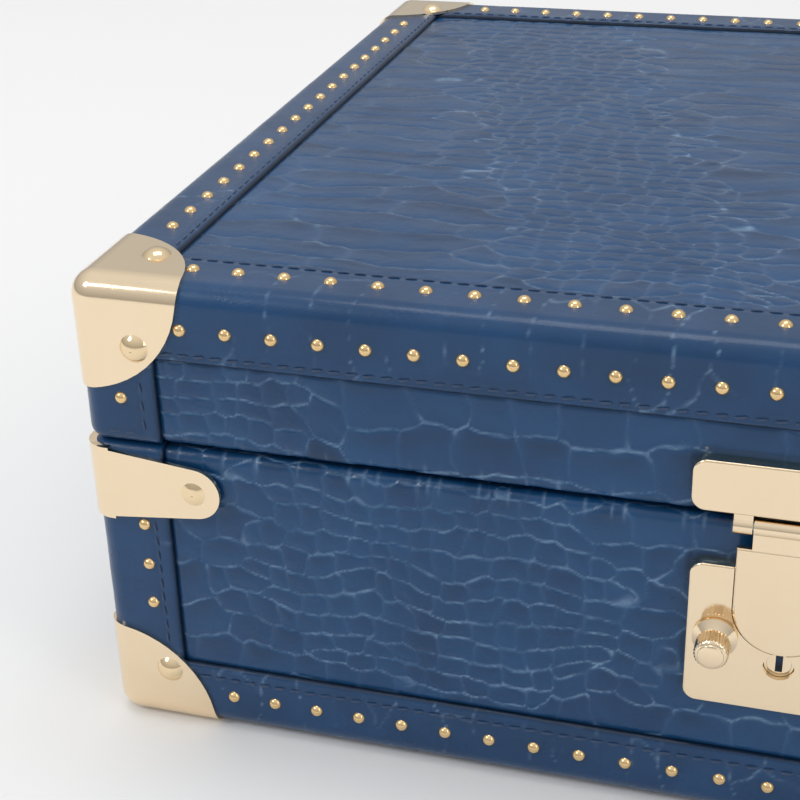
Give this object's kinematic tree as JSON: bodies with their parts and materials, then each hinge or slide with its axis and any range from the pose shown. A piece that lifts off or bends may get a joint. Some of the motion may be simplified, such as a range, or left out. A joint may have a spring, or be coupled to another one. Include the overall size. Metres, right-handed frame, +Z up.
{
  "type": "jewellery case",
  "caption": "Box-shaped leather-covered jewellery case with hinged lid, metal corners, studded bindings, hasp lock and lift-out tray.",
  "frame": {"origin": "under the middle of the whole case, on the surface that the bottom corner caps stand on", "axes": "+X to the right seen from the front, -Y towards the front with the lock, +Z up"},
  "size_m": [0.3612, 0.3048, 0.1347],
  "materials": {
    "croc_leather": "glossy crocodile-grain embossed calf leather, navy blue",
    "binding_leather": "semi-gloss crocodile-grain leather strip with stitched edges, navy blue",
    "trim_leather": "smooth thin leather, navy blue",
    "gold_brass": "polished pale gold plate on brass",
    "steel": "plain machined",
    "wood": "plain sawn board, hidden under leather and lining",
    "suede_lining": "stone-grey microsuede",
    "mirror": "silvered glass",
    "base_fabric": "dark non-slip bonded fabric"
  },
  "bodies": {
    "base": {"base_front_board": "wood", "base_back_board": "wood", "base_end_boards": "wood", "base_floor_board": "wood", "base_front_leather": "croc_leather", "base_back_leather": "croc_leather", "base_end_leathers": "croc_leather", "base_bottom_cover": "base_fabric", "base_bottom_binding": "binding_leather", "base_corner_strips": "binding_leather", "base_bottom_caps": "gold_brass", "base_rim_clamps": "gold_brass", "base_studs": "gold_brass", "base_cap_rivets": "gold_brass", "clamp_rivets": "gold_brass", "lock_plate": "gold_brass", "lock_case": "steel", "key_barrel": "gold_brass", "latch_spring": "steel", "base_hinge_leaves": "gold_brass", "base_hinge_screws": "gold_brass", "hinge_pins": "steel", "closing_lip": "suede_lining", "base_floor_pad": "suede_lining", "tray_rails": "suede_lining", "lower_dividers": "suede_lining"},
    "lid": {"lid_front_board": "wood", "lid_back_board": "wood", "lid_end_boards": "wood", "lid_top_board": "wood", "lid_front_leather": "croc_leather", "lid_back_leather": "croc_leather", "lid_end_leathers": "croc_leather", "lid_top_leather": "croc_leather", "lid_binding": "binding_leather", "lid_corner_strips": "binding_leather", "lid_corner_caps": "gold_brass", "lid_studs": "gold_brass", "lid_cap_rivets": "gold_brass", "lid_plate": "gold_brass", "hasp_pin": "steel", "lid_hinge_leaves": "gold_brass", "lid_hinge_screws": "gold_brass", "lid_lining": "suede_lining", "lid_pad": "suede_lining", "lid_mirror": "mirror", "mirror_frame": "trim_leather"},
    "hasp": {"hasp_flap": "gold_brass", "hasp_hook": "gold_brass"},
    "latch": {"release_knob": "gold_brass", "latch_bolt": "steel"},
    "key": {"key_plug": "gold_brass"},
    "tray": {"tray_walls": "suede_lining", "tray_floor": "suede_lining", "tray_dividers": "suede_lining", "ring_rolls": "suede_lining", "tray_tabs": "trim_leather"}
  },
  "joints": [
    {"name": "lid_hinge", "type": "hinge", "parent": "base", "child": "lid", "pos_m": [0, 0.14669, 0.08685], "axis": [-1, 0, 0], "range_deg": [0, 100]},
    {"name": "hasp_hinge", "type": "hinge", "parent": "lid", "child": "hasp", "pos_m": [0, -0.14236, 0.08685], "axis": [-1, 0, 0], "range_deg": [0, 110]},
    {"name": "latch_slide", "type": "slide", "parent": "base", "child": "latch", "axis": [-1, 0, 0], "range_m": [0, 0.0014], "stiffness_N_per_m": 300, "springref_m": -0.004, "deforming": ["latch_spring"]},
    {"name": "key_turn", "type": "hinge", "parent": "base", "child": "key", "pos_m": [0, -0.13616, 0.0496], "axis": [0, 1, 0], "range_deg": [0, 90]},
    {"name": "tray_lift", "type": "slide", "parent": "base", "child": "tray", "axis": [0, 0, 1], "range_m": [0, 0.022]}
  ]
}
